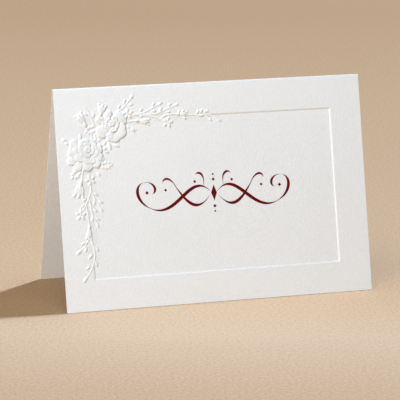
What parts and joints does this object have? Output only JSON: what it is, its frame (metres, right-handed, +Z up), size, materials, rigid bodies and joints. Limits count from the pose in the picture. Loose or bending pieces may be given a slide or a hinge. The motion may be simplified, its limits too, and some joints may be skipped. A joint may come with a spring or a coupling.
{
  "type": "folded note card",
  "caption": "Folded white note card standing as a tent, with a pressed-in panel, an embossed rose spray and a printed red scroll ornament.",
  "frame": {"origin": "on the surface that the card stands on, under the middle of the fold", "axes": "+X along the fold, to the right seen from the front; the front leaf faces -Y; +Z up"},
  "size_m": [0.1238, 0.047, 0.0825],
  "materials": {
    "card_stock": "uncoated felt-smooth white card",
    "raised_ink": "glossy raised deep red ink"
  },
  "bodies": {
    "root": {"card": "card_stock", "printed_flourish": "raised_ink"}
  },
  "joints": []
}
